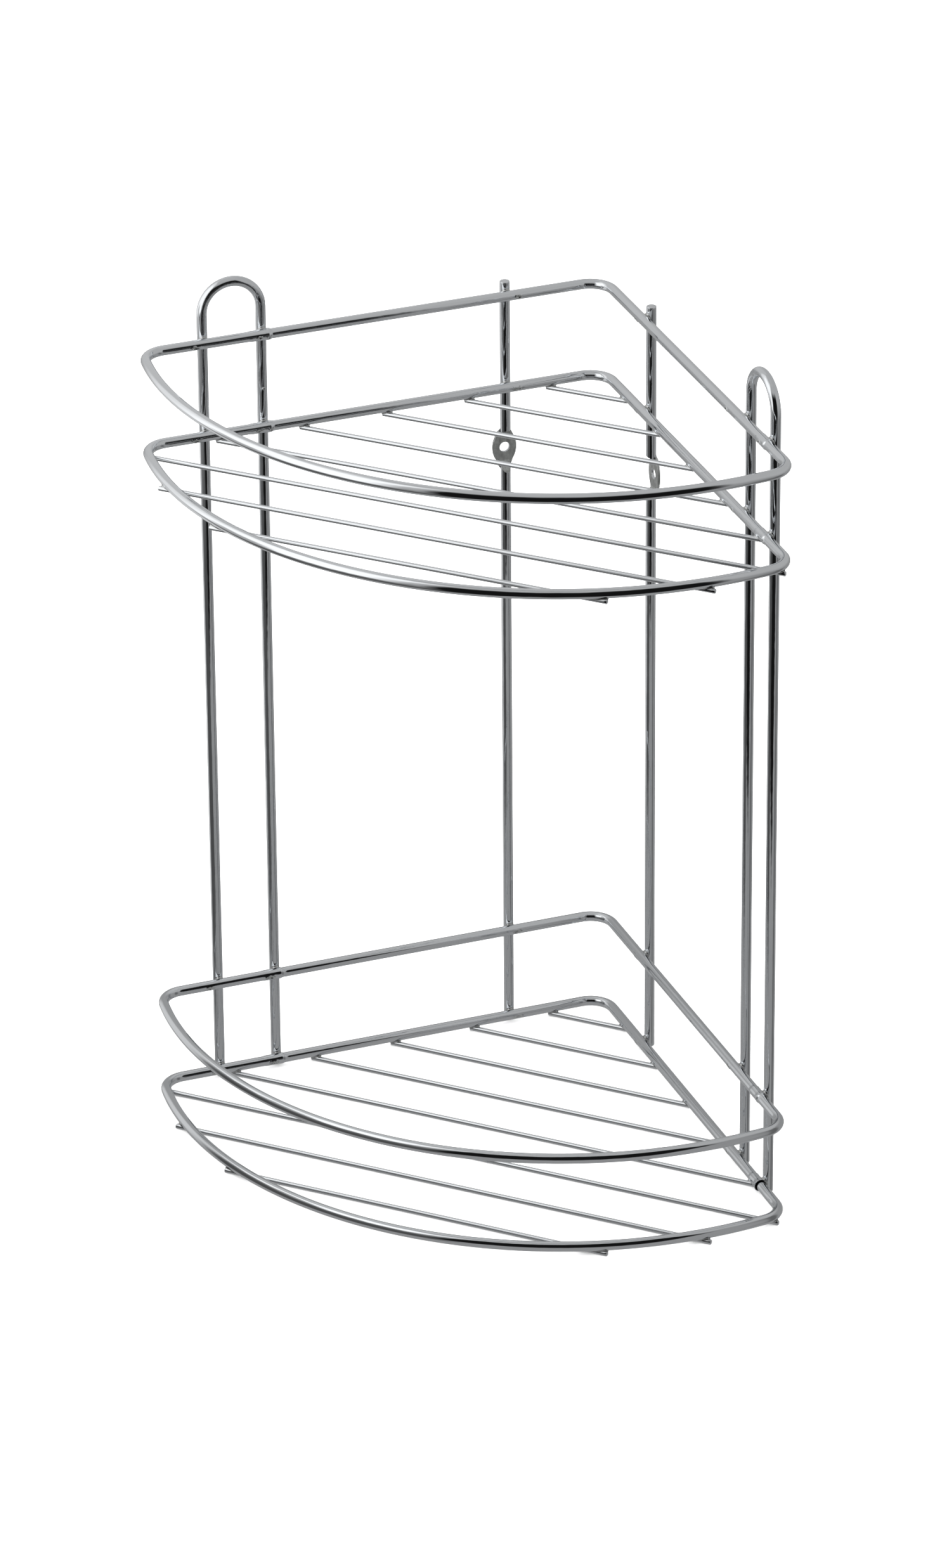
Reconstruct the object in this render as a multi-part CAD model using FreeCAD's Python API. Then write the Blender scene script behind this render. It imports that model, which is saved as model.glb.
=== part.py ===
import FreeCAD, Part
import math
import os

# A two-tier corner caddy, welded from chromed steel tube, rod and wire. Millimetres.
#
# Each tier has a floor rim and a guard rim above it. A rim is two bent tubes that plug
# into each other: a back tube that follows the two walls, and a front tube that bows out
# into the room. Thin wires under each floor rim carry the load. Two hairpin uprights near
# the tips and two single uprights near the corner are welded to the rims' wall sides, and
# each single upright is flattened and punched once, to take a wall screw.
#
# The parts are laid out from the corner where the rims' two straight sides would meet:
# x runs along the left wall, y along the right wall, and z = 0 is the lower floor rim's
# centreline. into_row_frame() turns and lifts the finished parts.

# Driving dimensions
rim_d = 5.0  # outside diameter of the rims' tube
rim_wall = 0.8
upright_d = 5.0  # solid rod
floor_wire_d = 2.4
weld_sink = 0.35  # how far a resistance weld pushes one member into another
tier_pitch = 344.0  # lower floor rim to upper floor rim
guard_height = 48.0  # floor rim to the guard rim above it

# Rim outline, on the tube's centreline
back_bend_r = 12.0
tip_bend_r = 12.0
bow_r = 200.0
bow_centre = 38.0  # distance of the bow's centre from each wall side

# Plug joints between a rim's two tubes. A joint's "show" is the parallel length of spigot
# outside the socket, and its "taper" the length over which the spigot grows to full size.
left_mouth = 172.0  # where the front tube's socket opens, along the left wall
right_mouth = 205.0  # where the back tube's socket opens, along the right wall
socket_d = 5.4
spigot_d = 4.2
socket_depth = 8.0
mouth_flare = 3.0
socket_taper = 2.0
closed_joint = {"mouth_d": 5.7, "show": 0.1, "taper": 0.4}
open_joint = {"mouth_d": 6.5, "show": 2.0, "taper": 10.0}
open_rim = "lower_floor_rim"  # its right joint is the open one

# Uprights, placed by their distance from the corner along a wall
outer_leg = 203.0
inner_leg = 173.5
single_leg = 49.5
hairpin_rise = 28.0  # top of the hairpin's centreline above the upper guard rim
single_rise = 6.0  # top of a single upright above the upper guard rim
single_drop = 2.8  # foot of a single upright below the lower floor rim
foot_round = 0.8  # on the hairpins' feet
end_chamfer = 0.4  # on the single uprights' ends

# Screw eyes in the single uprights
eye_drop = 34.0  # hole's centre below the upper floor rim
eye_width = 12.2
eye_height = 18.4
eye_hole_d = 5.0
eye_thickness = 1.3
eye_flat_up = 8.2  # the flat's reach above and below the hole's centre
eye_flat_down = 7.0
eye_ramp_up = 1.7  # length of the run-out from flat to full rod
eye_ramp_down = 5.2
eye_shoulder = 6.5  # height above and below the hole where the necks leave the oval
eye_neck_up = 10.8  # where the flat's outline meets the rod's sides
eye_neck_down = 12.0
eye_neck_set_in = 0.1  # how far the neck's narrow end stays inside the rod's sides

# Floor wires, all square to the line that halves the corner
wires_per_tier = 8
first_wire = 20.6  # corner to the first wire
wire_pitch = 29.8
tip_wire = 6  # the wire that runs under both tips
wire_overrun = 0.8  # how far a wire's end passes the centreline that it is welded under
wire_stub = 5.0  # the same, for the wires that stick out past the bow

# Derived sizes
rim_r = rim_d / 2
upright_r = upright_d / 2
wire_r = floor_wire_d / 2
root2 = math.sqrt(2)
upright_offset = rim_r + upright_r - weld_sink
wire_drop = rim_r + wire_r - weld_sink
foot_z = -(wire_drop + wire_r)
tip_start = bow_centre + math.sqrt((bow_r - tip_bend_r) ** 2 - (tip_bend_r - bow_centre) ** 2)
tip_angle = math.atan2(tip_bend_r - bow_centre, tip_start - bow_centre)
tip_reach = (tip_start - tip_bend_r) / root2 + tip_bend_r + rim_r
bow_reach = bow_centre * root2 + bow_r + rim_r
corner_gap = back_bend_r * (root2 - 1) - rim_r
rim_heights = {
    "lower_floor_rim": 0.0,
    "lower_guard_rim": guard_height,
    "upper_floor_rim": tier_pitch,
    "upper_guard_rim": tier_pitch + guard_height,
}
top_z = tier_pitch + guard_height


def point(x, y, z=0.0):
    return FreeCAD.Vector(x, y, z)


def line(start, end):
    return Part.LineSegment(start, end).toShape()


def arc(centre_x, centre_y, radius, start_angle, end_angle):
    """A level arc, swept from start_angle to end_angle either way round."""
    spots = []
    for angle in (start_angle, (start_angle + end_angle) / 2, end_angle):
        spots.append(point(centre_x + radius * math.cos(angle), centre_y + radius * math.sin(angle)))
    return Part.Arc(*spots).toShape()


def swept_rod(edges, radius):
    """A round rod along edges that follow each other tangentially."""
    path = Part.Wire(edges)
    start = edges[0].valueAt(edges[0].FirstParameter)
    direction = edges[0].tangentAt(edges[0].FirstParameter)
    section = Part.Face(Part.Wire(Part.makeCircle(radius, start, direction)))
    return path.makePipe(section)


def turned(profile, start, direction):
    """A solid of revolution from (distance, radius) pairs, measured from start along direction."""
    first, last = profile[0][0], profile[-1][0]
    corners = [point(first, 0)]
    corners += [point(distance, radius) for distance, radius in profile]
    corners += [point(last, 0), point(first, 0)]
    solid = Part.Face(Part.makePolygon(corners)).revolve(point(0, 0), point(1, 0), 360)
    solid.Placement = FreeCAD.Placement(start, FreeCAD.Rotation(point(1, 0), direction))
    return solid


def rim_tube(edges, socket_joint, socket_mouth, socket_way, spigot_joint, spigot_root, spigot_way):
    """One bent tube of a rim, and its outside as if it were solid.

    The tube ends in an opened-out socket and a swaged-down spigot. socket_way points from
    the mouth into the tube, and spigot_way from the full tube towards the spigot's tip.
    """
    bore_r = rim_r - rim_wall
    mouth_r = socket_joint["mouth_d"] / 2
    socket_r = socket_d / 2
    socket_end = socket_depth + socket_taper
    spigot_r = spigot_d / 2
    spigot_bore_r = spigot_r - rim_wall
    taper = spigot_joint["taper"]
    tip = taper + spigot_joint["show"] + socket_depth
    socket_outside = [
        (0, mouth_r),
        (mouth_flare, socket_r),
        (socket_depth, socket_r),
        (socket_end, rim_r),
    ]
    socket_inside = [
        (0, mouth_r - rim_wall / 2),
        (mouth_flare, spigot_r),
        (socket_depth, spigot_r),
        (socket_end, bore_r),
    ]
    spigot_outside = [(0, rim_r), (taper, spigot_r), (tip, spigot_r)]
    spigot_inside = [(0, bore_r), (taper, spigot_bore_r), (tip, spigot_bore_r)]
    outside = swept_rod(edges, rim_r).fuse([
        turned(socket_outside, socket_mouth, socket_way),
        turned(spigot_outside, spigot_root, spigot_way),
    ])
    inside = swept_rod(edges, bore_r).fuse([
        turned(socket_inside, socket_mouth, socket_way),
        turned(spigot_inside, spigot_root, spigot_way),
    ])
    return outside.cut(inside), outside


def back_tube(right_joint):
    """Follows both walls round the corner: spigot on the left, socket on the right."""
    spigot_root = point(left_mouth - closed_joint["show"] - closed_joint["taper"], 0)
    socket_mouth = point(0, right_mouth)
    socket_start = point(0, right_mouth - socket_depth - socket_taper)
    edges = [
        line(spigot_root, point(back_bend_r, 0)),
        arc(back_bend_r, back_bend_r, back_bend_r, -math.pi / 2, -math.pi),
        line(point(0, back_bend_r), socket_start),
    ]
    return rim_tube(
        edges, right_joint, socket_mouth, point(0, -1), closed_joint, spigot_root, point(1, 0)
    )


def front_tube(right_joint):
    """Bows out into the room between two tight tips: socket on the left, spigot on the right."""
    socket_mouth = point(left_mouth, 0)
    socket_start = point(left_mouth + socket_depth + socket_taper, 0)
    spigot_root = point(0, right_mouth + right_joint["show"] + right_joint["taper"])
    far_angle = math.pi / 2 - tip_angle
    edges = [
        line(socket_start, point(tip_start, 0)),
        arc(tip_start, tip_bend_r, tip_bend_r, -math.pi / 2, tip_angle),
        arc(bow_centre, bow_centre, bow_r, tip_angle, far_angle),
        arc(tip_bend_r, tip_start, tip_bend_r, far_angle, math.pi),
        line(point(0, tip_start), spigot_root),
    ]
    return rim_tube(
        edges, closed_joint, socket_mouth, point(1, 0), right_joint, spigot_root, point(0, -1)
    )


def raised(shape, height):
    return shape.translated(point(0, 0, height))


def end_edges(shape, height):
    """The edges of a rod that lie level at one height."""
    found = []
    for edge in shape.Edges:
        box = edge.BoundBox
        if abs(box.ZMin - height) < 1e-4 and abs(box.ZMax - height) < 1e-4:
            found.append(edge)
    return found


def hairpin_upright():
    """One rod bent into an upside-down U, with rounded feet level with the floor wires."""
    turn_r = (outer_leg - inner_leg) / 2
    middle = (outer_leg + inner_leg) / 2
    turn_z = top_z + hairpin_rise - turn_r
    depth = -upright_offset
    over = Part.Arc(
        point(outer_leg, depth, turn_z),
        point(middle, depth, turn_z + turn_r),
        point(inner_leg, depth, turn_z),
    ).toShape()
    edges = [
        line(point(outer_leg, depth, foot_z), point(outer_leg, depth, turn_z)),
        over,
        line(point(inner_leg, depth, turn_z), point(inner_leg, depth, foot_z)),
    ]
    rod = swept_rod(edges, upright_r)
    return rod.makeFillet(foot_round, end_edges(rod, foot_z))


def eye_plate():
    """The flattened oval, with necks that run back into the rod above and below it."""
    wall_face = -upright_offset - upright_r
    thick = point(0, eye_thickness)
    rod_half = upright_r - eye_neck_set_in
    shoulder_half = eye_width / 2 * math.sqrt(1 - (2 * eye_shoulder / eye_height) ** 2)
    middle = point(0, wall_face)
    oval = Part.Ellipse(point(0, wall_face, eye_height / 2), point(eye_width / 2, wall_face), middle)
    plate = Part.Face(Part.Wire([oval.toShape()])).extrude(thick)
    necks = []
    for reach in (eye_neck_up, -eye_neck_down):
        shoulder_z = math.copysign(eye_shoulder, reach)
        outline = [
            point(-shoulder_half, wall_face, shoulder_z),
            point(shoulder_half, wall_face, shoulder_z),
            point(rod_half, wall_face, reach),
            point(-rod_half, wall_face, reach),
            point(-shoulder_half, wall_face, shoulder_z),
        ]
        necks.append(Part.Face(Part.makePolygon(outline)).extrude(thick))
    return plate.fuse(necks).removeSplitter()


def eye_pocket():
    """What the press takes away on the room side, with a ramp at each end of the flat."""
    flat_y = -upright_offset - upright_r + eye_thickness
    room_y = -upright_offset + upright_r
    outside_y = room_y + upright_r
    outline = [
        point(-eye_width, flat_y, eye_flat_up),
        point(-eye_width, room_y, eye_flat_up + eye_ramp_up),
        point(-eye_width, outside_y, eye_flat_up + eye_ramp_up),
        point(-eye_width, outside_y, -eye_flat_down - eye_ramp_down),
        point(-eye_width, room_y, -eye_flat_down - eye_ramp_down),
        point(-eye_width, flat_y, -eye_flat_down),
        point(-eye_width, flat_y, eye_flat_up),
    ]
    return Part.Face(Part.makePolygon(outline)).extrude(point(2 * eye_width, 0, 0))


def eye_upright():
    """A straight rod, flattened to a screw eye that lies against the wall."""
    low = -single_drop
    high = top_z + single_rise
    rod = Part.makeCylinder(upright_r, high - low, point(0, -upright_offset, low))
    rod = rod.makeChamfer(end_chamfer, end_edges(rod, high) + end_edges(rod, low))
    eye_z = tier_pitch - eye_drop
    hole_start = point(0, -upright_offset - upright_d)
    hole = Part.makeCylinder(eye_hole_d / 2, 2 * upright_d, hole_start, point(0, 1, 0))
    rod = rod.cut(raised(eye_pocket(), eye_z))
    rod = rod.fuse(raised(eye_plate(), eye_z)).removeSplitter()
    rod = rod.cut(raised(hole, eye_z))
    return rod.translated(point(single_leg, 0))


def wire_crossing(distance):
    """Half the width of the rim's outline, on its centreline, at a distance from the corner."""
    if distance * root2 <= tip_start:
        return distance
    bow_half = math.sqrt(bow_r ** 2 - (distance - bow_centre * root2) ** 2)
    bend_end = bow_centre + bow_r * math.sin(tip_angle)
    if (distance - bow_half) / root2 >= bend_end:
        return bow_half
    along = distance - (tip_start + tip_bend_r) / root2
    return (tip_start - tip_bend_r) / root2 + math.sqrt(tip_bend_r ** 2 - along ** 2)


def floor_wire(number):
    """A straight wire under a floor rim. Number 1 is nearest the corner."""
    distance = first_wire + wire_pitch * (number - 1)
    crossing = wire_crossing(distance)
    left_half = crossing + wire_overrun
    right_half = left_half
    if number == tip_wire:
        right_half = tip_reach
    if number > tip_wire:
        left_half = crossing + wire_stub
        right_half = left_half
    along_wire = point(-1, 1) / root2
    middle = point(distance, distance, -wire_drop * root2) / root2
    start = middle - along_wire * left_half
    return Part.makeCylinder(wire_r, left_half + right_half, start, along_wire)


def mirrored(shape):
    """The same piece for the other wall."""
    return shape.mirror(point(0, 0), point(1, -1))


def into_row_frame(shape):
    """Corner at the back, bow to the front, feet on z = 0."""
    corner_y = (bow_reach + corner_gap) / 2
    shape = shape.copy()
    turn = FreeCAD.Placement(point(0, corner_y, -foot_z), FreeCAD.Rotation(point(0, 0, 1), 225))
    shape.Placement = turn.multiply(shape.Placement)
    return shape


def build():
    """Every part by name. A rod or wire is notched where it is welded to a rim."""
    parts = {}
    outsides = {}
    for rim, height in rim_heights.items():
        right_joint = open_joint if rim == open_rim else closed_joint
        back, back_outside = back_tube(right_joint)
        front, front_outside = front_tube(right_joint)
        parts[rim + "_back"] = raised(back, height)
        parts[rim + "_front"] = raised(front, height)
        outsides[rim] = raised(back_outside.fuse(front_outside), height)

    rims = list(outsides.values())
    for kind, upright in (("hairpin", hairpin_upright()), ("eye", eye_upright())):
        parts["left_" + kind + "_upright"] = upright.cut(rims)
        parts["right_" + kind + "_upright"] = mirrored(upright).cut(rims)

    for tier in ("lower", "upper"):
        rim = tier + "_floor_rim"
        for number in range(1, wires_per_tier + 1):
            wire = raised(floor_wire(number), rim_heights[rim])
            parts["%s_floor_wire_%d" % (tier, number)] = wire.cut(outsides[rim])
    return parts


def main():
    os.makedirs("parts", exist_ok=True)
    for name, shape in build().items():
        solid = into_row_frame(shape)
        solid.exportStep("parts/" + name + ".step")


main()
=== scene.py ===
import math

import bpy
from mathutils import Matrix, Vector, noise


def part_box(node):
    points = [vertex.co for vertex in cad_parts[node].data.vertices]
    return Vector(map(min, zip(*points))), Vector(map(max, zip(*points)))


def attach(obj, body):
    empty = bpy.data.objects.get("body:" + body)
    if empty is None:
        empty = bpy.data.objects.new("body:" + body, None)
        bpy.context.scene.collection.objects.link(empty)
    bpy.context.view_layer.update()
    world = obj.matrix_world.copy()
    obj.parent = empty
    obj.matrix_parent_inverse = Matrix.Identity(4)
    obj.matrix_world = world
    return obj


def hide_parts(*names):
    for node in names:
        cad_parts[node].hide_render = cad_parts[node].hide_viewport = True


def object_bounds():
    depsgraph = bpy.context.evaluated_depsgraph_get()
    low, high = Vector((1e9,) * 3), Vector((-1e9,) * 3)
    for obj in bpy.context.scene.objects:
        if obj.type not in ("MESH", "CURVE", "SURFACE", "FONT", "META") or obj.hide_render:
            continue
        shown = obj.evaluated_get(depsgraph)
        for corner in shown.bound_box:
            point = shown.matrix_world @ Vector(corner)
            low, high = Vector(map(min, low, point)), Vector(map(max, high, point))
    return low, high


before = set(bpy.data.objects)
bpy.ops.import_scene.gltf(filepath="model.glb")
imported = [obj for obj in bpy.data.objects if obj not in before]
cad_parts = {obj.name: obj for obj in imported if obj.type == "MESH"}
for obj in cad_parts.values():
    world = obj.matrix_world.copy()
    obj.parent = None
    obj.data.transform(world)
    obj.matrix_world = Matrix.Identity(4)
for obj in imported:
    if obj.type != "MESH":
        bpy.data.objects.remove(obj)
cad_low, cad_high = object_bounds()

# A two-tier corner caddy of chromed tube, rod and wire, dressed over its CAD frame.
#
# Shapes are laid out in millimetres and in the corner's own axes, as in the CAD: x runs along
# the left wall, y along the right wall, and z = 0 is the lower floor rim's centreline. The
# left-hand uprights are built and the right-hand ones mirrored. row_point() turns a point into
# the row frame, in metres.

MM = 0.001
ROOT2 = math.sqrt(2)
UP = Vector((0, 0, 1))
LEFT_WALL = Vector((1, 0, 0))
RIGHT_WALL = Vector((0, 1, 0))
WIRE_WAY = Vector((-1, 1, 0)) / ROOT2  # from a wire's left end to its right end

# Sizes that the CAD shares: tube, rod and wire
rim_r = 2.5
bore_r = 1.7
upright_r = 2.5
wire_r = 1.2
sink = 0.35  # how far a weld pushes one member into another

# The rims' outline, on the tube's centreline
back_bend_r = 12.0
tip_bend_r = 12.0
bow_r = 200.0
bow_centre = 38.0  # distance of the bow's centre from each wall side

# Plug joints between a rim's two tubes, placed by their sockets' mouths along each wall
left_mouth = 172.0
right_mouth = 205.0
socket_r = 2.7
spigot_r = 2.1
socket_depth = 8.0
mouth_flare = 3.0
socket_taper = 2.0

# Uprights, placed by their distance from the corner along a wall
outer_leg = 203.0
inner_leg = 173.5
single_leg = 49.5
hairpin_rise = 28.0  # top of the hairpin's centreline above the upper guard rim
single_rise = 6.0  # top of a single upright above the upper guard rim
single_drop = 2.8  # foot of a single upright below the lower floor rim

# Screw eyes in the single uprights
eye_drop = 34.0  # hole's centre below the upper floor rim
eye_half_width = 6.1
eye_half_height = 9.2
eye_hole_r = 2.5
eye_thickness = 1.3
eye_flat_up = 8.2  # the flat's reach above and below the hole's centre
eye_flat_down = 7.0
eye_ramp_up = 1.7  # length of the run-out from flat to full rod
eye_ramp_down = 5.2
eye_shoulder = 6.5  # height above and below the hole where the necks leave the oval
eye_neck_up = 10.8  # where the flat's outline meets the rod's sides
eye_neck_down = 12.0
eye_neck_set_in = 0.1  # how far the neck's narrow end stays inside the rod's sides

# Floor wires
first_wire = 20.6  # corner to the first wire
wire_pitch = 29.8
wires_per_tier = 8
tip_wire = 6  # the wire that runs under both tips
wire_overrun = 0.8  # how far a wire's end passes the rim's centreline
wire_stub = 5.0  # the same, for the wires that stick out past the bow

# Derived from them
upright_offset = rim_r + upright_r - sink
wire_drop = rim_r + wire_r - sink
base_z = wire_drop + wire_r
corner_gap = back_bend_r * (ROOT2 - 1) - rim_r
tip_start = bow_centre + math.sqrt((bow_r - tip_bend_r) ** 2 - (tip_bend_r - bow_centre) ** 2)
tip_angle = math.atan2(tip_bend_r - bow_centre, tip_start - bow_centre)
tip_reach = (tip_start - tip_bend_r) / ROOT2 + tip_bend_r + rim_r

# Places from the frame
corner_y = cad_high.y / MM + corner_gap


def rim_height(rim):
    low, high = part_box(rim + "_back")
    return (low.z + high.z) / 2 / MM - base_z


rims = {name: rim_height(name) for name in (
    "lower_floor_rim", "lower_guard_rim", "upper_floor_rim", "upper_guard_rim"
)}
top_z = rims["upper_guard_rim"]
eye_z = rims["upper_floor_rim"] - eye_drop

# The joints' mouths and the spigot that shows outside them are as in the CAD. The neck, which is
# the spigot's radius there, and the closed joint's taper up to the full tube are finer here.
closed_joint = {"mouth_r": 2.85, "show": 0.1, "taper": 0.9, "neck_r": 2.79}
open_joint = {"mouth_r": 3.25, "show": 2.0, "taper": 10.0, "neck_r": 2.35}
open_rim = "lower_floor_rim"  # its right joint is the open one
lip = 0.2  # rounding of a socket's edge
hollow_r = spigot_r + 0.05

# Rounding of the rods' ends
spigot_rounding = 0.3
outer_foot_rounding = 0.45
inner_foot_rounding = 0.9
single_rounding = 0.35
wire_rounding = 0.4

# The eyes' edges
eye_bevel = 0.1
eye_fade = 2.5  # length over which the plate sinks into the rod at each end
eye_margin = 1.5  # plain rod at each end of the pressed stretch
hole_wall_flare = 0.1
hole_room_flare = 0.15

# Weld metal: webs, the beads round two joints and one drop of spatter
upright_fillet = 0.75
wire_fillet = 0.55
bead_length = 4.4
bead_sunk = 0.15
bead_swell = 0.62
spatter_drop = 29.0  # below the upper guard rim
spatter_r = 0.85
spatter_sunk = 0.5
spatter_reach = 1.25

# How finely the skins are cut
rim_sides = 64
upright_sides = 64
wire_sides = 32
hole_sides = 72
spatter_sides = 24
long_step = 2.0
fine_step = 0.3
eye_step = 0.2


def row_point(point):
    x, y, z = point
    return Vector(((y - x) / ROOT2, corner_y - (x + y) / ROOT2, z + base_z)) * MM


def smooth(edge0, edge1, value):
    """0 below edge0, 1 above edge1 and a smooth step between; edges may run downwards."""
    t = min(1.0, max(0.0, (value - edge0) / (edge1 - edge0)))
    return t * t * (3 - 2 * t)


# ---------------------------------------------------------------- paths and skins

class Path:
    """A planar run of straight and round stretches, measured by its length."""

    def __init__(self, start, heading, normal):
        self.stretches = []
        self.length = 0.0
        self.spot = Vector(start)
        self.heading = Vector(heading)
        self.normal = Vector(normal)

    def straight(self, distance):
        self.stretches.append((self.length, self.spot, self.heading, 0.0))
        self.spot = self.spot + self.heading * distance
        self.length += distance
        return self

    def bend(self, radius, angle):
        """Turns left about the normal for a positive angle, and right for a negative one."""
        curvature = math.copysign(1 / radius, angle)
        self.stretches.append((self.length, self.spot, self.heading, curvature))
        self.spot, self.heading = self._along(self.spot, self.heading, curvature, radius * abs(angle))
        self.length += radius * abs(angle)
        return self

    def _along(self, spot, heading, curvature, distance):
        if curvature == 0.0:
            return spot + heading * distance, heading
        turn = curvature * distance
        left = self.normal.cross(heading)
        forward = heading * (math.sin(turn) / curvature)
        sideways = left * ((1 - math.cos(turn)) / curvature)
        return spot + forward + sideways, heading * math.cos(turn) + left * math.sin(turn)

    def at(self, distance):
        """Point and direction there. Past either end the path runs on."""
        chosen = self.stretches[0]
        for stretch in self.stretches:
            if stretch[0] <= distance:
                chosen = stretch
        start, spot, heading, curvature = chosen
        return self._along(spot, heading, curvature, distance - start)


class Skin:
    """Points, faces, grain coordinates and wear of a piece. The grain runs along its rod."""

    def __init__(self):
        self.points = []
        self.grain = []
        self.wear = []
        self.faces = []

    def add(self, points, grain, wear=None):
        first = len(self.points)
        self.points += points
        self.grain += grain
        self.wear += wear or [0.0] * len(points)
        return list(range(first, len(self.points)))

    def bridge(self, low, high):
        for i in range(len(low)):
            j = (i + 1) % len(low)
            self.faces.append((low[i], low[j], high[j], high[i]))

    def close(self, ring, point, grain, at_start):
        centre = self.add([point], [grain])[0]
        for i in range(len(ring)):
            j = (i + 1) % len(ring)
            self.faces.append((centre, ring[j], ring[i]) if at_start else (centre, ring[i], ring[j]))

    def merged(self, other):
        shift = len(self.points)
        self.points += other.points
        self.grain += other.grain
        self.wear += other.wear
        self.faces += [tuple(i + shift for i in face) for face in other.faces]
        return self


class Dent:
    """An oval mark that an electrode pressed into a rod, with a rim of squeezed metal."""

    def __init__(self, along, turn, length, width, depth, ridge):
        self.along = along
        self.turn = turn
        self.length = length
        self.width = width
        self.depth = depth
        self.ridge = ridge

    def lift(self, along, turn, radius):
        a = (along - self.along) / self.length
        if abs(a) > 2:
            return 0.0
        around = (turn - self.turn + math.pi) % (2 * math.pi) - math.pi
        b = around * radius / self.width
        reach = math.hypot(a, b)
        if reach > 2:
            return 0.0
        rough = 1 + 0.5 * noise.noise(Vector((a * 2.3, b * 2.3, self.along)))
        floor = -self.depth * (1 - smooth(0.55, 1.0, reach))
        return (floor + self.ridge * math.exp(-((reach - 1.05) / 0.28) ** 2)) * rough


def stations(breaks, step, fine=()):
    """(distance, radius) pairs filled in between breaks, closer together near the fine spots."""
    filled = [breaks[0]]
    for (s0, r0), (s1, r1) in zip(breaks, breaks[1:]):
        span = abs(s1 - s0)
        eased = abs(r1 - r0) > 1e-6 and span > 0.5
        spot = 0.0
        while True:
            here = s0 + math.copysign(spot, s1 - s0)
            near = any(abs(here - centre) < reach for centre, reach in fine)
            spot += fine_step if near or eased else step
            if spot > span - 1e-6:
                break
            share = spot / span
            filled.append((s0 + (s1 - s0) * share, r0 + (r1 - r0) * smooth(0, 1, share)))
        filled.append((s1, r1))
    return filled


def round_end(at, radius, rounding, inward):
    """(distance, radius) pairs round a rod's end; inward is the way into the rod, 1 or -1."""
    turns = [math.pi / 2 * k / 5 for k in range(6)]
    pairs = [(at + inward * rounding * (1 - math.sin(t)), radius - rounding * (1 - math.cos(t)))
             for t in turns]
    return pairs[::-1] if inward > 0 else pairs


def skin_rod(path, pairs, sides, dents=(), grain_shift=0.0):
    """A closed skin of rings along a path."""
    skin = Skin()
    rings = []
    for distance, radius in pairs:
        centre, along = path.at(distance)
        across = path.normal
        beside = along.cross(across)
        near = [dent for dent in dents if abs(dent.along - distance) < 2 * dent.length]
        points, grain, wear = [], [], []
        for k in range(sides):
            turn = 2 * math.pi * k / sides
            lift = sum(dent.lift(distance, turn, radius) for dent in near)
            r = radius + lift
            points.append(centre + (across * math.cos(turn) + beside * math.sin(turn)) * r)
            grain.append(Vector((r * math.cos(turn), r * math.sin(turn), distance + grain_shift)))
            wear.append(min(1.0, abs(lift) * 5))
        rings.append(skin.add(points, grain, wear))
    for low, high in zip(rings, rings[1:]):
        skin.bridge(low, high)
    for ring, (distance, _), at_start in ((rings[0], pairs[0], True), (rings[-1], pairs[-1], False)):
        skin.close(ring, path.at(distance)[0], Vector((0, 0, distance + grain_shift)), at_start)
    return skin


def as_built(skin):
    """The skin for the left wall, which is the one that is laid out."""
    return skin


def mirrored(skin):
    """The same skin for the other wall, with its grain shifted so that the two look different."""
    other = Skin()
    other.points = [Vector((p.y, p.x, p.z)) for p in skin.points]
    other.grain = [g + UP * 700 for g in skin.grain]
    other.wear = list(skin.wear)
    other.faces = [tuple(reversed(face)) for face in skin.faces]
    return other


def raised(skin, height):
    """The same skin higher up, with its grain shifted too."""
    other = Skin()
    other.points = [p + UP * height for p in skin.points]
    other.grain = [g + UP * height * 7 for g in skin.grain]
    other.wear = list(skin.wear)
    other.faces = list(skin.faces)
    return other


# ---------------------------------------------------------------- rims

def socket_pairs(joint, mouth, inward):
    """Outside of a socket from its mouth inwards, and the hollow behind it from the deep end out."""
    lip_middle = joint["mouth_r"] - lip
    turns = [math.pi * k / 8 for k in range(9)]
    lip_round = [(mouth + inward * lip * (1 - math.sin(t)), lip_middle + lip * math.cos(t))
                 for t in turns]
    outside = lip_round[4::-1] + [
        (mouth + inward * mouth_flare, socket_r),
        (mouth + inward * socket_depth, socket_r),
        (mouth + inward * (socket_depth + socket_taper), rim_r),
    ]
    hollow = lip_round[4:] + [
        (mouth + inward * mouth_flare, hollow_r),
        (mouth + inward * socket_depth, hollow_r),
        (mouth + inward * (socket_depth + socket_taper), bore_r),
    ]
    return outside, hollow


def neck_pairs(joint, mouth, outward):
    """From the spigot, out through a mouth and up to the full tube; outward is 1 or -1."""
    return [
        (mouth - outward * 0.8, spigot_r),
        (mouth - outward * 0.3, (spigot_r + joint["neck_r"]) / 2),
        (mouth, joint["neck_r"]),
        (mouth + outward * joint["show"], joint["neck_r"]),
        (mouth + outward * (joint["show"] + joint["taper"]), rim_r),
    ]


def back_tube(right_joint, dents):
    path = Path((left_mouth + socket_depth, 0, 0), -LEFT_WALL, UP)
    path.straight(left_mouth + socket_depth - back_bend_r)
    path.bend(back_bend_r, -math.pi / 2)
    path.straight(right_mouth - back_bend_r)
    spigot = round_end(0, spigot_r, spigot_rounding, 1) + neck_pairs(closed_joint, socket_depth, 1)
    outside, hollow = socket_pairs(right_joint, path.length, -1)
    marks = dents(path, "back")
    fine = [(dent.along, 2 * dent.length) for dent in marks]
    pairs = stations(spigot + outside[::-1] + hollow, long_step, fine)
    return skin_rod(path, pairs, rim_sides, marks)


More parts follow.
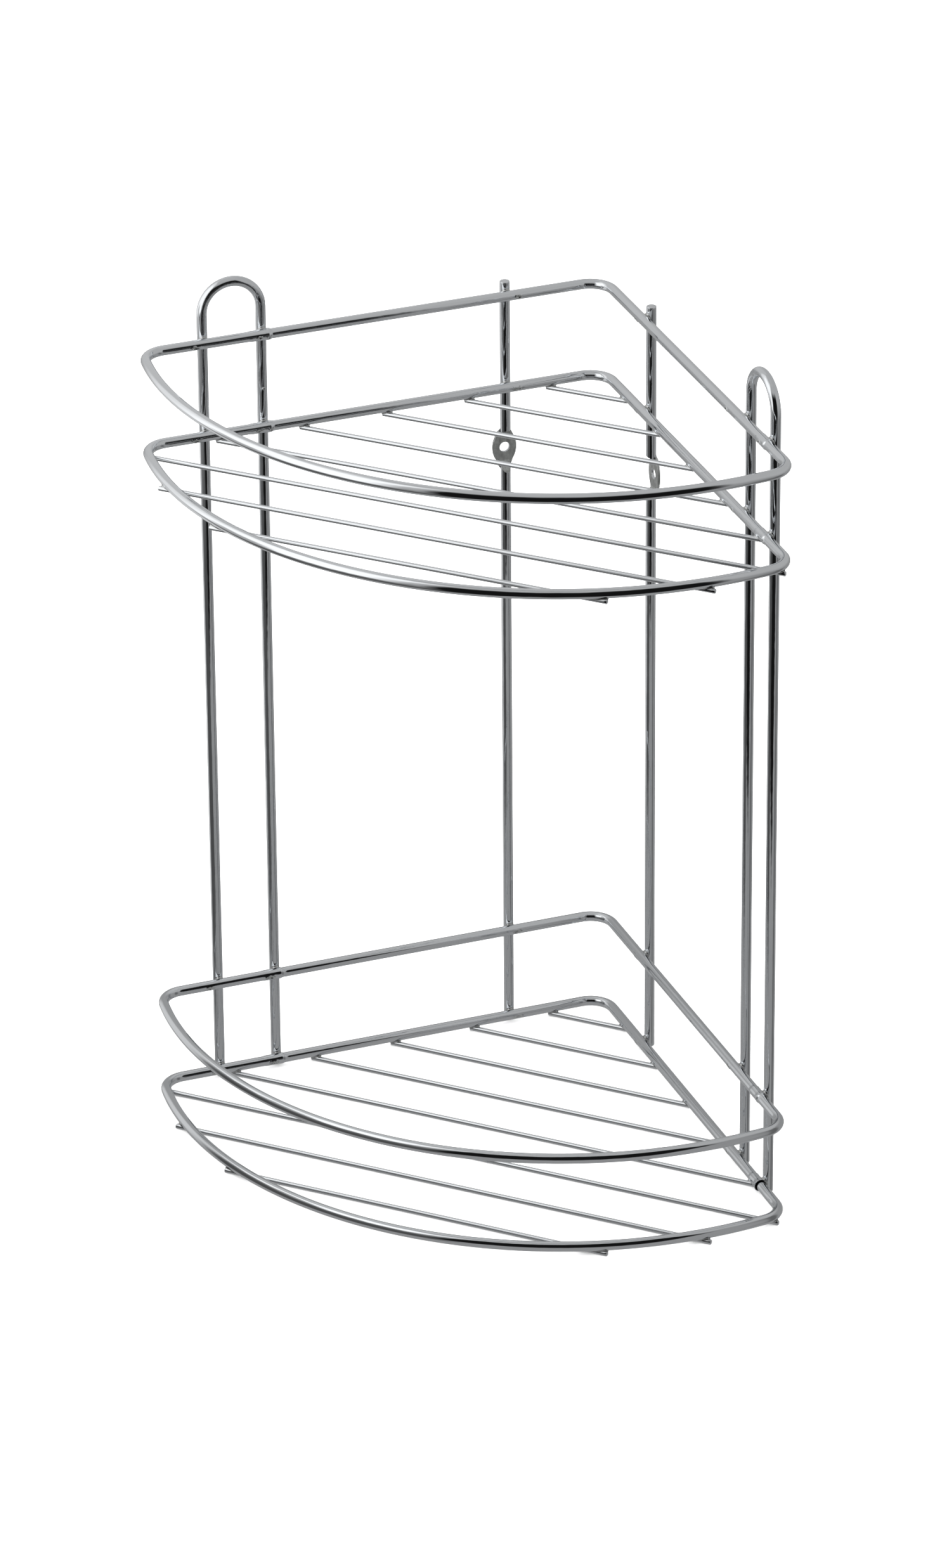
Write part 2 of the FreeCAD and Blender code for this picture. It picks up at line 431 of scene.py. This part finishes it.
def front_tube(right_joint, dents):
    path = Path((left_mouth, 0, 0), LEFT_WALL, UP)
    path.straight(tip_start - left_mouth)
    path.bend(tip_bend_r, math.pi / 2 + tip_angle)
    path.bend(bow_r, math.pi / 2 - 2 * tip_angle)
    path.bend(tip_bend_r, math.pi / 2 + tip_angle)
    path.straight(tip_start - right_mouth)
    outside, hollow = socket_pairs(closed_joint, 0, 1)
    spigot = neck_pairs(right_joint, path.length, -1)[::-1]
    spigot += round_end(path.length + socket_depth, spigot_r, spigot_rounding, -1)
    marks = dents(path, "front")
    fine = [(dent.along, 2 * dent.length) for dent in marks]
    pairs = stations(hollow[::-1] + outside + spigot, long_step, fine)
    return skin_rod(path, pairs, rim_sides, marks)


# Electrode marks on the rims' room side: wall, distance from the corner, degrees below level,
# half-length, half-width, depth and height of the squeezed rim
weld_marks = {
    "upper_guard_rim": [
        ("left", 209.0, 12, 1.5, 0.8, 0.30, 0.22), ("left", 176.6, 8, 1.1, 0.6, 0.28, 0.20),
        ("left", 45.0, 5, 1.3, 0.9, 0.32, 0.18), ("right", 47.0, 25, 1.5, 0.9, 0.25, 0.20),
        ("right", 160.0, 10, 1.2, 0.9, 0.30, 0.22), ("right", 200.0, 5, 1.2, 0.8, 0.20, 0.18),
    ],
    "upper_floor_rim": [
        ("left", 209.5, 15, 1.6, 0.8, 0.26, 0.20), ("left", 178.0, 12, 1.0, 0.7, 0.25, 0.20),
        ("left", 46.0, 8, 2.4, 0.8, 0.18, 0.10), ("right", 46.5, 20, 1.6, 0.8, 0.20, 0.14),
        ("right", 168.0, 15, 1.3, 0.8, 0.24, 0.18),
    ],
    "lower_guard_rim": [
        ("left", 209.5, 10, 1.4, 0.8, 0.26, 0.18), ("left", 178.0, 8, 2.0, 0.8, 0.30, 0.20),
        ("left", 47.5, 5, 1.8, 0.8, 0.18, 0.12), ("right", 48.0, 20, 1.6, 0.8, 0.20, 0.14),
        ("right", 169.0, 12, 1.4, 0.9, 0.26, 0.20),
    ],
    "lower_floor_rim": [
        ("left", 208.0, 10, 1.2, 0.7, 0.20, 0.14), ("left", 177.0, 10, 2.0, 0.8, 0.26, 0.18),
        ("left", 47.0, 10, 2.0, 0.7, 0.14, 0.10), ("right", 49.0, 15, 1.6, 0.8, 0.16, 0.12),
        ("right", 168.0, 10, 1.4, 0.8, 0.20, 0.16),
    ],
}


def rim_dents(rim):
    """A function that gives a tube of this rim its dents."""
    walls = {
        "left": (LEFT_WALL, RIGHT_WALL, left_mouth),
        "right": (RIGHT_WALL, LEFT_WALL, right_mouth),
    }
    step = 0.5

    def on_tube(path, tube):
        found = []
        for wall, station, below, length, width, depth, ridge in weld_marks[rim]:
            wall_way, room_way, mouth = walls[wall]
            if tube != ("front" if station > mouth else "back"):
                continue
            spot = wall_way * station
            tries = [k * step for k in range(int(path.length / step))]
            along = min(tries, key=lambda distance: (path.at(distance)[0] - spot).length)
            beside = path.at(along)[1].cross(UP)
            out = room_way * math.cos(math.radians(below)) - UP * math.sin(math.radians(below))
            turn = math.atan2(out.dot(beside), out.dot(UP))
            found.append(Dent(along, turn, length, width, depth, ridge))
        return found
    return on_tube


# ---------------------------------------------------------------- uprights

def hairpin_skin():
    turn_r = (outer_leg - inner_leg) / 2
    leg = top_z + hairpin_rise - turn_r + base_z
    path = Path((outer_leg, -upright_offset, -base_z), UP, RIGHT_WALL)
    path.straight(leg).bend(turn_r, -math.pi).straight(leg)
    ends = round_end(0, upright_r, outer_foot_rounding, 1)
    ends += round_end(path.length, upright_r, inner_foot_rounding, -1)
    return skin_rod(path, stations(ends, long_step), upright_sides)


def spatter_bead():
    """A drop of weld metal on the room side of the left hairpin's inner leg."""
    foot = (inner_leg, upright_r - upright_offset - spatter_sunk, top_z - spatter_drop)
    path = Path(foot, RIGHT_WALL, UP)
    path.straight(spatter_reach)
    dome = round_end(0, spatter_r, 0.2, 1) + round_end(spatter_reach, spatter_r, 0.7, -1)
    return skin_rod(path, dome, spatter_sides)


def eye_half(height):
    """Half-width of the pressed plate, height above the eye. Its neck narrows into the rod."""
    def oval(at):
        return eye_half_width * math.sqrt(max(0.0, 1 - (at / eye_half_height) ** 2))

    inside_rod = upright_r - eye_neck_set_in
    reach = eye_neck_up if height >= 0 else eye_neck_down
    share = (abs(height) - eye_shoulder) / (reach - eye_shoulder)
    if not 0 < share <= 1:
        return max(oval(height), inside_rod)
    shoulder = oval(eye_shoulder)
    return max(oval(height), shoulder + (inside_rod - shoulder) * share)


def sloping(low, high, count):
    """count evenly spaced values from low up to just short of high."""
    return [low + (high - low) * k / count for k in range(count)]


def eye_turns(half, flat_y, centre_y):
    """Directions from the plate's middle, from straight down into the wall round to straight out.

    They are (angle above or below sideways, -1 into the wall or 1 out of it). They always hit the
    plate's edges, its crease with the rod and the edge of the pressed flat, so those edges run
    clean from one outline to the next.
    """
    def rod_x(y):
        return math.sqrt(max(0.0, upright_r ** 2 - (y - centre_y) ** 2))

    plate_half = eye_thickness / 2
    side = math.atan2(plate_half - eye_bevel, half)
    face = math.atan2(plate_half, half - eye_bevel)
    crease = math.atan2(plate_half, rod_x(plate_half))
    edge = min(1.45, max(crease + 0.05, math.atan2(flat_y, rod_x(flat_y))))
    tip = sloping(0, side, 4) + [side]
    out = tip + sloping(face, crease, 6) + sloping(crease, edge, 16) + sloping(edge, math.pi / 2, 10)
    into = tip + sloping(face, math.pi / 2, 20)
    turns = [(math.pi / 2, -1)] + [(turn, -1) for turn in reversed(into[1:])]
    return turns + [(turn, 1) for turn in out] + [(math.pi / 2, 1)]


def eye_outline(height):
    """The single upright's outline at a height above the eye, seen from the plate's middle.

    The points are (x, y, pressed) with y towards the room. The room side is pressed flat, and the
    plate stands out sideways from the rod.
    """
    plate_half = eye_thickness / 2
    centre_y = upright_r - plate_half
    if height >= 0:
        room_share = smooth(eye_flat_up, eye_flat_up + eye_ramp_up, height)
        reach = eye_neck_up
    else:
        room_share = min(1.0, max(0.0, (-eye_flat_down - height) / eye_ramp_down))
        reach = eye_neck_down
    flat_y = plate_half + (2 * upright_r - eye_thickness) * room_share
    plate_share = 1 - smooth(reach - eye_fade, reach, abs(height))
    half = eye_half(height)

    right = []
    for turn, way in eye_turns(half, flat_y, centre_y):
        out_x, out_y = math.cos(turn), math.sin(turn) * way
        b = out_y * centre_y
        rod = b + math.sqrt(b * b - centre_y ** 2 + upright_r ** 2)
        pressed = 0.0
        if way > 0 and out_y > 1e-6 and flat_y / out_y <= rod * 1.0001 and room_share < 0.999:
            rod = flat_y / out_y
            pressed = 1.0
        plate = min(half / max(out_x, 1e-6), plate_half / max(abs(out_y), 1e-6))
        if plate > rod:
            rod += (plate - rod) * plate_share
            pressed = max(pressed, plate_share)
        right.append((rod * out_x, rod * out_y, pressed))
    left = [(-x, y, pressed) for x, y, pressed in right[-2:0:-1]]
    return right + left


def eye_skin(path, low, eye_at, high):
    """The pressed stretch of a single upright from low to high along its path."""
    skin = Skin()
    rings = []
    origin_y = -upright_offset - upright_r + eye_thickness / 2
    turning = (-eye_neck_down, -eye_flat_down - eye_ramp_down, -eye_flat_down, -eye_shoulder, 0,
               eye_shoulder, eye_flat_up, eye_flat_up + eye_ramp_up, eye_neck_up)
    breaks = [(low, 0)] + [(eye_at + height, 0) for height in sorted(turning)] + [(high, 0)]
    for along, _ in stations(breaks, eye_step):
        points, grain, wear = [], [], []
        for x, y, pressed in eye_outline(along - eye_at):
            points.append(Vector((single_leg + x, origin_y + y, along - single_drop)))
            grain.append(Vector((x, origin_y + y + upright_offset, along)))
            wear.append(pressed)
        rings.append(skin.add(points, grain, wear))
    for first, second in zip(rings, rings[1:]):
        skin.bridge(first, second)
    skin.close(rings[0], path.at(low)[0], Vector((0, 0, low)), True)
    skin.close(rings[-1], path.at(high)[0], Vector((0, 0, high)), False)
    return skin


def single_skins():
    """The pressed stretch of a single upright, before its hole is punched, and the rest of it."""
    path = Path((single_leg, -upright_offset, -single_drop), UP, RIGHT_WALL)
    path.straight(top_z + single_rise + single_drop)
    eye_at = eye_z + single_drop
    low = eye_at - eye_neck_down - eye_margin
    high = eye_at + eye_neck_up + eye_margin
    below = round_end(0, upright_r, single_rounding, 1) + [(low, upright_r)]
    above = [(high, upright_r)] + round_end(path.length, upright_r, single_rounding, -1)
    lower = skin_rod(path, stations(below, long_step), upright_sides)
    upper = skin_rod(path, stations(above, long_step), upright_sides)
    return eye_skin(path, low, eye_at, high), lower.merged(upper)


def hole_cutter():
    """The punch, a little wider where it enters and leaves the plate."""
    over_run = 2.0
    entry_r = eye_hole_r + hole_wall_flare
    exit_r = eye_hole_r + hole_room_flare
    wall = -upright_offset - upright_r
    path = Path((single_leg, wall - over_run, eye_z), RIGHT_WALL, UP)
    path.straight(eye_thickness + 2 * over_run)
    room = over_run + eye_thickness
    pairs = [
        (0, entry_r), (over_run - 0.05, entry_r), (over_run + 0.1, eye_hole_r),
        (room - 0.15, eye_hole_r), (room, exit_r), (room + over_run, exit_r),
    ]
    return skin_rod(path, pairs, hole_sides)


# ---------------------------------------------------------------- floor wires

def wire_crossing(distance):
    """Half-width of the rim's outline at a distance from the corner, and its direction there."""
    if distance * ROOT2 <= tip_start:
        return distance, LEFT_WALL
    bow_half = math.sqrt(bow_r ** 2 - (distance - bow_centre * ROOT2) ** 2)
    bend_end = bow_centre + bow_r * math.sin(tip_angle)
    if (distance - bow_half) / ROOT2 >= bend_end:
        half, centre = bow_half, Vector((bow_centre, bow_centre, 0))
    else:
        along = distance - (tip_start + tip_bend_r) / ROOT2
        half = (tip_start - tip_bend_r) / ROOT2 + math.sqrt(tip_bend_r ** 2 - along ** 2)
        centre = Vector((tip_start, tip_bend_r, 0))
    spot = Vector((distance, distance, 0)) / ROOT2 - WIRE_WAY * half
    out = (spot - centre).normalized()
    return half, UP.cross(out)


def wire_ends(number):
    """Distance from the corner, the rim's half-width and direction there, and the wire's reaches."""
    distance = first_wire + wire_pitch * (number - 1)
    half, way = wire_crossing(distance)
    left, right = half + wire_overrun, half + wire_overrun
    if number == tip_wire:
        right = tip_reach
    if number > tip_wire:
        left = right = half + wire_stub
    return distance, half, way, left, right


def wire_skin(number):
    distance, half, way, left, right = wire_ends(number)
    middle = Vector((distance, distance, -wire_drop * ROOT2)) / ROOT2
    path = Path(middle - WIRE_WAY * left, WIRE_WAY, UP)
    path.straight(left + right)
    ends = round_end(0, wire_r, wire_rounding, 1) + round_end(path.length, wire_r, wire_rounding, -1)
    return skin_rod(path, stations(ends, long_step), wire_sides, grain_shift=number * 311.0)


# ---------------------------------------------------------------- welds

def between(first, second, share):
    """A direction part of the way round from one unit vector to another."""
    angle = first.angle(second, 0.0)
    if angle < 1e-4:
        return first
    part = first * math.sin((1 - share) * angle) + second * math.sin(share * angle)
    return part / math.sin(angle)


def weld_fillet(origin, normal, rod_a, rod_b, gap, fillet, seed, stop_b=None):
    """The web of metal round a weld between two rods that cross, each given as (way, radius).

    A ball of the fillet's radius rolls round the crossing and touches both rods. normal points
    from rod a's axis to rod b's, gap apart. stop_b = (low, high) keeps the web on a rod that
    ends near the crossing.
    """
    skin = Skin()
    loops, arcs = 72, 7
    way_a, r_a = rod_a
    way_b, r_b = rod_b
    beside_a = normal.cross(way_a)
    beside_b = normal.cross(way_b)
    top, bottom = r_a + fillet, gap - r_b - fillet
    middle, swing = (top + bottom) / 2, (top - bottom) / 2
    strips = []
    for k in range(loops):
        t = 2 * math.pi * k / loops
        uneven = -0.3 * noise.noise(Vector((math.cos(t) * 1.7, math.sin(t) * 1.7, seed)))
        z = middle + swing * math.cos(2 * t)
        off_a = math.copysign(math.sqrt(max(0.0, top ** 2 - z ** 2)), math.sin(t))
        off_b = math.copysign(math.sqrt(max(0.0, (r_b + fillet) ** 2 - (z - gap) ** 2)), math.cos(t))
        in_plane = way_a * (off_b / way_a.dot(beside_b)) + way_b * (off_a / way_b.dot(beside_a))
        ball = origin + in_plane + normal * z
        to_a = -(beside_a * off_a + normal * z).normalized()
        to_b = -(beside_b * off_b + normal * (z - gap)).normalized()
        points = []
        for m in range(arcs):
            share = m / (arcs - 1)
            reach = fillet * (1 + uneven * math.sin(math.pi * share))
            point = ball + between(to_a, to_b, share) * reach
            if stop_b is not None:
                run = (point - origin).dot(way_b)
                point = point + way_b * (min(max(run, stop_b[0]), stop_b[1]) - run)
            points.append(point)
        strips.append(skin.add(points, [p - origin + Vector((0, 0, seed * 13.0)) for p in points]))
    for low, high in zip(strips, strips[1:] + strips[:1]):
        for m in range(arcs - 1):
            skin.faces.append((low[m], low[m + 1], high[m + 1], high[m]))
    return skin


def upright_welds(legs, seed, on_right):
    """The webs between a left-hand upright's legs and all four rims. on_right fits them to the
    right wall's sockets, because they are mirrored there.
    """
    socket = (left_mouth, left_mouth + socket_depth)
    if on_right:
        socket = (right_mouth - socket_depth, right_mouth)
    skin = Skin()
    for leg in legs:
        tube_r = socket_r if socket[0] < leg < socket[1] else rim_r
        for number, height in enumerate(rims.values()):
            skin.merged(weld_fillet(
                Vector((leg, 0, height)), -RIGHT_WALL, (LEFT_WALL, tube_r), (UP, upright_r),
                upright_offset, upright_fillet, seed + number * 1.7 + leg * 0.01,
            ))
    return skin


def wire_welds(number, seed):
    """The webs at both ends of a floor wire."""
    distance, half, way, left, right = wire_ends(number)
    far = 1e3
    skin = Skin()
    for side, reach in ((-1, left), (1, right)):
        origin = Vector((distance, distance, 0)) / ROOT2 + WIRE_WAY * side * half
        rim_way = way if side < 0 else Vector((way.y, way.x, 0))
        end = reach - half - 0.05
        skin.merged(weld_fillet(
            origin, -UP, (rim_way, rim_r), (WIRE_WAY, wire_r), wire_drop, wire_fillet,
            seed + side, (-end, far) if side < 0 else (-far, end),
        ))
    return skin


def joint_bead(seed):
    """A plated-over bead round a closed joint on the left wall."""
    path = Path((left_mouth - bead_length / 2, 0, 0), LEFT_WALL, UP)
    path.straight(bead_length)
    steps = 22
    pairs = []
    for k in range(steps + 1):
        share = k / steps
        swell = math.sin(math.pi * share) ** 0.7
        pairs.append((bead_length * share, rim_r - bead_sunk + bead_swell * swell))
    dent = Dent(bead_length / 2, math.radians(255), 0.8, 0.7, 0.25, 0.12)
    return skin_rod(path, pairs, rim_sides, [dent], seed)


# ---------------------------------------------------------------- pieces

def build_mesh(name, skin):
    mesh = bpy.data.meshes.new(name)
    mesh.from_pydata([row_point(p) for p in skin.points], [], skin.faces)
    mesh.update()
    grain = mesh.attributes.new("grain", "FLOAT_VECTOR", "POINT")
    grain.data.foreach_set("vector", [c for g in skin.grain for c in g])
    wear = mesh.attributes.new("wear", "FLOAT", "POINT")
    wear.data.foreach_set("value", skin.wear)
    for polygon in mesh.polygons:
        polygon.use_smooth = True
    mesh.set_sharp_from_angle(angle=math.radians(50))
    made = bpy.data.objects.new(name, mesh)
    bpy.context.scene.collection.objects.link(made)
    return made


def add_piece(name, skin, material, node=None):
    piece = build_mesh(name, skin)
    piece.data.materials.append(material)
    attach(piece, "root")
    if node:
        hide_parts(node)
    return piece


def punch(piece, cutter_skin):
    """Cuts the eye's hole for good and throws the cutter away."""
    cutter = build_mesh("punch", cutter_skin)
    hole = piece.modifiers.new("hole", "BOOLEAN")
    hole.operation = "DIFFERENCE"
    hole.solver = "EXACT"
    hole.object = cutter
    graph = bpy.context.evaluated_depsgraph_get()
    cut = bpy.data.meshes.new_from_object(piece.evaluated_get(graph), preserve_all_data_layers=True,
                                          depsgraph=graph)
    piece.modifiers.remove(hole)
    piece.data = cut
    for polygon in cut.polygons:
        polygon.use_smooth = True
    cut.set_sharp_from_angle(angle=math.radians(35))
    bpy.data.objects.remove(cutter)


# ---------------------------------------------------------------- materials

class Wiring:
    """A new material's nodes. An input is a number, a colour or another node's output."""

    def __init__(self, name):
        self.material = bpy.data.materials.new(name)
        self.material.use_nodes = True
        self.material.node_tree.nodes.clear()

    def node(self, kind, inputs=(), **settings):
        made = self.material.node_tree.nodes.new("ShaderNode" + kind)
        for name, value in settings.items():
            setattr(made, name, value)
        for socket, value in dict(inputs).items():
            if isinstance(value, bpy.types.NodeSocket):
                self.material.node_tree.links.new(value, made.inputs[socket])
            else:
                made.inputs[socket].default_value = value
        return made

    def attribute(self, name, output):
        return self.node("Attribute", attribute_name=name).outputs[output]

    def noise(self, grain, scale, detail):
        """Noise with its own scale per millimetre across, across and along the rod."""
        stretched = self.node("VectorMath", {0: grain, 1: scale}, operation="MULTIPLY")
        inputs = {"Vector": stretched.outputs["Vector"], "Scale": 1.0, "Detail": detail}
        return self.node("TexNoise", inputs).outputs["Fac"]

    def scaled(self, value, factor, base):
        """value * factor + base"""
        made = self.node("Math", {0: value, 1: factor, 2: base}, operation="MULTIPLY_ADD")
        return made.outputs["Value"]

    def spread(self, value, low, high, to_low=0.0, to_high=1.0):
        inputs = {"Value": value, "From Min": low, "From Max": high, "To Min": to_low, "To Max": to_high}
        return self.node("MapRange", inputs).outputs["Result"]

    def mix(self, share, first, second):
        inputs = {"Factor": share, "A": first, "B": second}
        return self.node("Mix", inputs, data_type="RGBA").outputs["Result"]

    def surface(self, shader, output):
        self.node("OutputMaterial", {"Surface": shader.outputs[output]})
        return self.material


def chrome(name, tint, shade, roughness, wave):
    """Bright plating over drawn metal: fine streaks along the grain and slow waves.

    Where the metal is worn, by an electrode or by the press, it is rougher and duller.
    """
    wiring = Wiring(name)
    grain = wiring.attribute("grain", "Vector")
    worn = wiring.attribute("wear", "Fac")
    streaks = wiring.noise(grain, (2.2, 2.2, 0.05), 3.0)
    waves = wiring.noise(grain, (0.35, 0.35, 0.07), 2.0)
    clouds = wiring.noise(grain, (0.5, 0.5, 0.03), 4.0)
    patches = wiring.spread(wiring.noise(grain, (0.5, 0.5, 0.3), 5.0), 0.35, 0.65)

    height = wiring.scaled(streaks, 0.05, waves)
    bump = wiring.node("Bump", {"Strength": 1.0, "Distance": wave * MM, "Height": height})
    rough = wiring.scaled(worn, 0.22, wiring.spread(clouds, 0.3, 0.7, *roughness))
    bright = wiring.mix(clouds, (*shade, 1), (*tint, 1))
    dull = wiring.mix(patches, (0.68, 0.70, 0.68, 1), (0.46, 0.47, 0.46, 1))
    shader = wiring.node("BsdfPrincipled", {
        "Metallic": 1.0,
        "Base Color": wiring.mix(worn, bright, dull),
        "Roughness": rough,
        "Normal": bump.outputs["Normal"],
    })
    return wiring.surface(shader, "BSDF")


tube_chrome = chrome("tube_chrome", (0.83, 0.85, 0.87), (0.76, 0.78, 0.80), (0.02, 0.06), 0.08)
rod_chrome = chrome("rod_chrome", (0.81, 0.83, 0.85), (0.73, 0.75, 0.77), (0.02, 0.06), 0.12)
wire_chrome = chrome("wire_chrome", (0.82, 0.84, 0.86), (0.76, 0.78, 0.80), (0.04, 0.09), 0.04)
weld_chrome = chrome("weld_chrome", (0.70, 0.71, 0.71), (0.45, 0.45, 0.44), (0.10, 0.25), 0.30)

# ---------------------------------------------------------------- the caddy

for rim, height in rims.items():
    joint = open_joint if rim == open_rim else closed_joint
    marks = rim_dents(rim)
    for tube, make in (("back", back_tube), ("front", front_tube)):
        node = rim + "_" + tube
        add_piece(node + "_tube", raised(make(joint, marks), height), tube_chrome, node)
for number, rim in enumerate(("upper_guard_rim", "upper_floor_rim")):
    bead = raised(joint_bead(number * 50.0), rims[rim])
    add_piece(rim + "_joint_bead", bead, tube_chrome)

hairpin = hairpin_skin()
eye_part, plain_part = single_skins()
for side in ("left", "right"):
    on_right = side == "right"
    turned = mirrored if on_right else as_built
    add_piece(side + "_hairpin_rod", turned(hairpin), rod_chrome,
              side + "_hairpin_upright")
    eye = add_piece(side + "_eye_plate", turned(eye_part), rod_chrome)
    punch(eye, turned(hole_cutter()))
    add_piece(side + "_eye_rod", turned(plain_part), rod_chrome, side + "_eye_upright")
    for name, legs, seed in (("hairpin", (outer_leg, inner_leg), 1.0), ("eye", (single_leg,), 5.0)):
        welds = upright_welds(legs, seed + 30.0 * on_right, on_right)
        add_piece("%s_%s_welds" % (side, name), turned(welds), weld_chrome)
add_piece("left_hairpin_spatter", spatter_bead(), weld_chrome)

for tier in ("lower", "upper"):
    height = rims[tier + "_floor_rim"]
    for number in range(1, wires_per_tier + 1):
        node = "%s_floor_wire_%d" % (tier, number)
        add_piece(node + "_rod", raised(wire_skin(number), height), wire_chrome, node)
        welds = wire_welds(number, number * 3.1 + height)
        add_piece(node + "_welds", raised(welds, height), weld_chrome)

# ---------------------------------------------------------------- studio

# The camera stands in front, to the right and above, and looks through a long lens
camera_turn = math.radians(24.485)
camera_lift = math.radians(26.902)
camera_roll = math.radians(-0.483)
camera_distance = 3.877
camera_lens = 185.36
camera_target = Vector((-0.0116, -0.0053, 0.1852))

back = Vector((
    math.sin(camera_turn) * math.cos(camera_lift),
    -math.cos(camera_turn) * math.cos(camera_lift),
    math.sin(camera_lift),
))
camera_data = bpy.data.cameras.new("camera")
camera_data.lens = camera_lens
camera_data.clip_end = 100
camera = bpy.data.objects.new("camera", camera_data)
bpy.context.scene.collection.objects.link(camera)
camera.rotation_mode = "QUATERNION"
camera.location = camera_target + back * camera_distance
aim = (-back).to_track_quat("-Z", "Y")
camera.rotation_quaternion = aim @ Matrix.Rotation(camera_roll, 3, "Z").to_quaternion()
bpy.context.scene.camera = camera

# Reflections come from a round screen close to the object, which only glossy rays see. Its
# brightness is given by the turn from the camera's side, in degrees and positive to the right,
# and by the height in metres.
screen_r = 0.45
screen_low = -1.2
screen_high = 1.6
screen_rows = 140
screen_columns = 180


def over(base, colour, share):
    return base + (colour - base) * share


def band(low, high, edge, value):
    """1 between low and high and 0 beyond them, with soft edges that reach edge to either side."""
    return smooth(low - edge, low + edge, value) * smooth(high + edge, high - edge, value)


def wall_glow(turn, height):
    """Dim walls, brighter above than below, brighter at the back left and dark at the front left."""
    above = smooth(0.25, 0.5, height)
    from_back_left = abs((turn + 145 + 180) % 360 - 180)
    glow = over(over(0.31, 0.47, above), over(0.35, 0.58, above), smooth(60, 20, from_back_left))
    glow = over(glow, 0.68, band(-130, -102, 8, turn) * band(-0.08, 0.3, 0.08, height))
    front_left = over(0.08, 0.24, smooth(0.08, 0.26, height))
    glow = over(glow, front_left, band(-98, -25, 6, turn) * band(-0.15, 0.30, 0.04, height))
    return over(glow, 0.14, band(56, 82, 8, turn) * band(-0.26, 0.28, 0.05, height))


def with_window(glow, turn, height):
    """A tall bright window on the left, with a dimmer sill."""
    daylight = over(0.88, 1.24, smooth(-114, -92, turn))
    daylight = over(daylight, 0.85, smooth(0.85, 1.1, height))
    glow = over(glow, daylight, band(-122, -40, 7, turn) * smooth(0.25, 0.33, height))
    return over(glow, 0.45, band(-91, -74, 5, turn) * band(0.24, 0.42, 0.05, height))


def with_figure(glow, turn, height):
    """A dark figure in front, whose foot rises to the right and whose head fades out."""
    foot = -0.01 + 0.22 * smooth(20, 46, turn)
    figure = band(-29, 42, 3, turn) * smooth(foot - 0.02, foot + 0.02, height)
    return over(glow, 0.008, figure * smooth(0.86, 0.62, height))


def screen_glow(turn, height):
    """The room's walls with all that stands before them, its ceiling and its floor."""
    glow = with_window(wall_glow(turn, height), turn, height)
    glow = with_figure(glow, turn, height)
    ceiling, ground = smooth(1.2, 1.5, height), smooth(-0.35, -0.6, height)
    return over(over(glow, 0.50, ceiling), 0.31, ground)


def build_screen():
    """A round wall with a flat lid at each end."""
    pitch = (screen_high - screen_low) / screen_rows
    profile = [(0.0, screen_low), (screen_r * 0.5, screen_low)]
    profile += [(screen_r, screen_low + pitch * k) for k in range(screen_rows + 1)]
    profile += [(screen_r * 0.5, screen_high), (0.0, screen_high)]
    points, faces, glows = [], [], []
    front = math.atan2(back.y, back.x)
    for radius, height in profile:
        for i in range(screen_columns):
            turn = -180 + 360 * i / screen_columns
            yaw = front + math.radians(turn)
            points.append((radius * math.cos(yaw), radius * math.sin(yaw), height))
            glows.append(screen_glow(turn, height))
    for j in range(len(profile) - 1):
        low, high = j * screen_columns, (j + 1) * screen_columns
        for i in range(screen_columns):
            n = (i + 1) % screen_columns
            faces.append((low + i, high + i, high + n, low + n))
    mesh = bpy.data.meshes.new("screen")
    mesh.from_pydata(points, [], faces)
    glow = mesh.attributes.new("glow", "FLOAT", "POINT")
    glow.data.foreach_set("value", glows)
    screen = bpy.data.objects.new("screen", mesh)
    bpy.context.scene.collection.objects.link(screen)

    wiring = Wiring("screen")
    emission = wiring.node("Emission", {"Strength": wiring.attribute("glow", "Fac")})
    mesh.materials.append(wiring.surface(emission, "Emission"))
    wiring.material.cycles.emission_sampling = "NONE"
    screen.visible_camera = False
    screen.visible_diffuse = False
    screen.visible_transmission = False
    screen.visible_volume_scatter = False
    screen.visible_shadow = False


def build_floor():
    half = 8.0
    mesh = bpy.data.meshes.new("floor")
    mesh.from_pydata([(-half, -half, 0), (half, -half, 0), (half, half, 0), (-half, half, 0)], [],
                     [(0, 1, 2, 3)])
    floor = bpy.data.objects.new("floor", mesh)
    bpy.context.scene.collection.objects.link(floor)
    material = bpy.data.materials.new("floor")
    material.use_nodes = True
    shader = material.node_tree.nodes["Principled BSDF"]
    shader.inputs["Base Color"].default_value = (0.95, 0.95, 0.95, 1)
    shader.inputs["Roughness"].default_value = 0.9
    shader.inputs["Specular IOR Level"].default_value = 0.1
    mesh.materials.append(material)
    floor.visible_glossy = False


def light_room():
    """Even light from all round, strong enough to burn the floor out to white."""
    world = bpy.data.worlds.new("room")
    world.use_nodes = True
    sky = world.node_tree.nodes["Background"]
    sky.inputs["Color"].default_value = (1, 1, 1, 1)
    sky.inputs["Strength"].default_value = 2.6
    bpy.context.scene.world = world
    bpy.context.scene.view_settings.view_transform = "Standard"


build_screen()
build_floor()
light_room()
